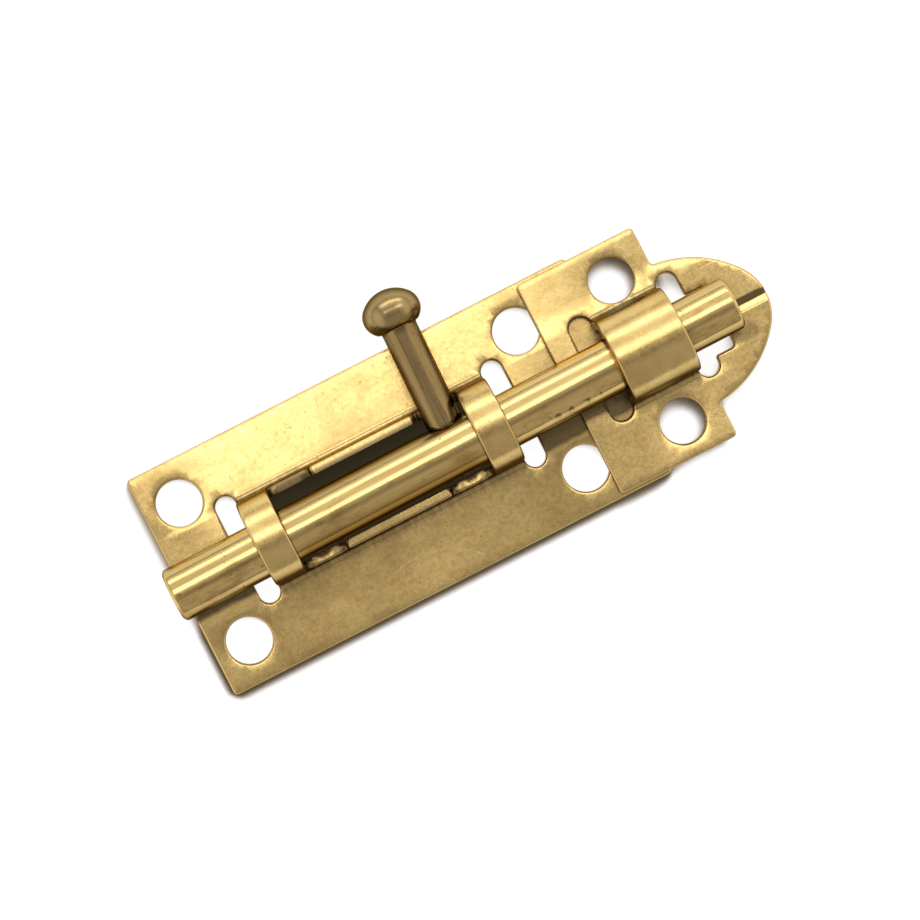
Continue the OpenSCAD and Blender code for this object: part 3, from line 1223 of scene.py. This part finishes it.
def floor():
    """A white floor, with a short dark shadow beside whatever stands on it, away from the light.

    The floor under the deep channel of the rod, between the guide loops, is painted dark as painted
    shade.
    """
    material = bpy.data.materials.new("floor_white")
    n = Nodes(material)
    shader = n.tree.nodes["Principled BSDF"].inputs
    shader["Roughness"].default_value = 0.9
    shader["Specular IOR Level"].default_value = 0.0
    x, y, _ = n.object_mm()
    past_x = n.less(n.size(x), loop_x + CHANNEL_UNDER_LOOP)
    past_y = n.less(n.size(n.less(y, loop_y)), loop_out)
    light = n.range(n.math("MAXIMUM", past_x, past_y), 0.0, CHANNEL_FADE, 0.0, 1.0)
    shadow = n.ramp(shadow_openness(n, x, y), *SHADOW_STOPS)
    n.link(n.mix(light, CHANNEL_PAINTED_SHADE, n.mix(FLOOR_SHARE, BLACK, shadow)), shader["Base Color"])
    n.link(n.mix(light, CHANNEL_PAINTED_SHADE, shadow), shader["Emission Color"])
    path = n.add("ShaderNodeLightPath").outputs
    seen = n.math("MAXIMUM", path["Is Camera Ray"], path["Is Glossy Ray"])
    seen = n.math("MAXIMUM", seen, path["Is Transmission Ray"])
    n.link(n.product(seen, FLOOR_GLOW), shader["Emission Strength"])

    mesh = bpy.data.meshes.new("floor")
    half = FLOOR_HALF
    corners = [(-half, -half, 0), (half, -half, 0), (half, half, 0), (-half, half, 0)]
    mesh.from_pydata(corners, [], [(0, 1, 2, 3)])
    mesh.materials.append(material)
    obj = bpy.data.objects.new("floor", mesh)
    bpy.context.scene.collection.objects.link(obj)
    obj.location.z = cad_box[0][2] - FLOOR_GAP


def camera():
    """Looks down from above the middle of the base plate, with the rod rising to the right."""
    height = 0.420
    frame_w = 0.1051
    sensor_w = 36
    aim = Vector((0.0092, -0.00143, 0.0011))
    roll = math.radians(27.1)
    data = bpy.data.cameras.new("camera")
    data.sensor_width = sensor_w
    data.lens = sensor_w * (height - aim.z) / frame_w
    data.clip_start = 0.01
    obj = bpy.data.objects.new("camera", data)
    bpy.context.scene.collection.objects.link(obj)
    eye = Vector((0, 0, height))
    back = (eye - aim).normalized()
    right = Vector((math.cos(roll), -math.sin(roll), 0))
    right = (right - right.dot(back) * back).normalized()
    up = back.cross(right)
    obj.matrix_world = Matrix((
        (right.x, up.x, back.x, eye.x),
        (right.y, up.y, back.y, eye.y),
        (right.z, up.z, back.z, eye.z),
        (0, 0, 0, 1),
    ))
    bpy.context.scene.camera = obj


# The lamps stand in for one tall window: their distance, their length, and how far they stand aside
LAMP_DISTANCE = 0.8
LAMP_LENGTH = 1.2
LAMP_SIDE = 0.25


def lamp(name, lean, width, radiance):
    """A long soft lamp, leaning from the zenith towards +Y by degrees, that faces the object."""
    data = bpy.data.lights.new(name, "AREA")
    data.shape = "RECTANGLE"
    data.size = LAMP_LENGTH
    data.size_y = width
    data.energy = radiance * math.pi * LAMP_LENGTH * width
    obj = bpy.data.objects.new(name, data)
    bpy.context.scene.collection.objects.link(obj)
    obj.matrix_world = (
        Matrix.Rotation(-math.radians(lean), 4, "X")
        @ Matrix.Translation((LAMP_SIDE, 0, LAMP_DISTANCE))
    )
    obj.visible_camera = False


# The room: its tint and level, the share of it that the horizon has, and the height where it is full
ROOM_TINT = (1.0, 0.95, 0.94)
SKY_LEVEL = 0.48
HORIZON_SHARE = 0.45
FULL_HEIGHT = 0.22
# It is brighter beyond this far to the left and right, and darker in a spot near the zenith
WING_START = 0.55
WING_END = 0.75
WING_LEVEL = 0.5
SHADE_DEPTH = 0.25
SHADE_HALF_X = 0.5
SHADE_HALF_Y = 0.16
SHADE_Y = -0.26


def world():
    """Plain light from all round, darker near the zenith, where whoever looks down stands."""
    data = bpy.data.worlds.new("studio")
    bpy.context.scene.world = data
    n = Nodes(data)
    x, y, z = n.split(n.coordinate("Generated"))
    across = n.math("DIVIDE", x, SHADE_HALF_X)
    along = n.math("DIVIDE", n.less(y, SHADE_Y), SHADE_HALF_Y)
    distance = n.total(n.product(across, across), n.product(along, along))
    spot = n.product(n.math("EXPONENT", n.product(distance, -1.0)), n.math("GREATER_THAN", z, 0.0))
    wings = n.range(n.size(x), WING_START, WING_END, 0.0, WING_LEVEL)
    level = n.total(n.less(SKY_LEVEL, n.product(spot, SHADE_DEPTH)), wings)
    level = n.product(level, n.range(z, 0.0, FULL_HEIGHT, HORIZON_SHARE, 1.0))
    colour = n.add("ShaderNodeCombineColor")
    for socket, share in zip(colour.inputs, ROOM_TINT):
        n.link(n.product(level, share), socket)
    background = n.tree.nodes["Background"].inputs
    background["Strength"].default_value = 1.0
    n.link(colour.outputs["Color"], background["Color"])


floor()
camera()
world()
lamp("window_wide", lean=46, width=1.25, radiance=0.48)
lamp("window_high", lean=15, width=0.2, radiance=2.1)
lamp("window_low", lean=61, width=0.19, radiance=2.2)

bpy.context.scene.view_settings.view_transform = "Standard"
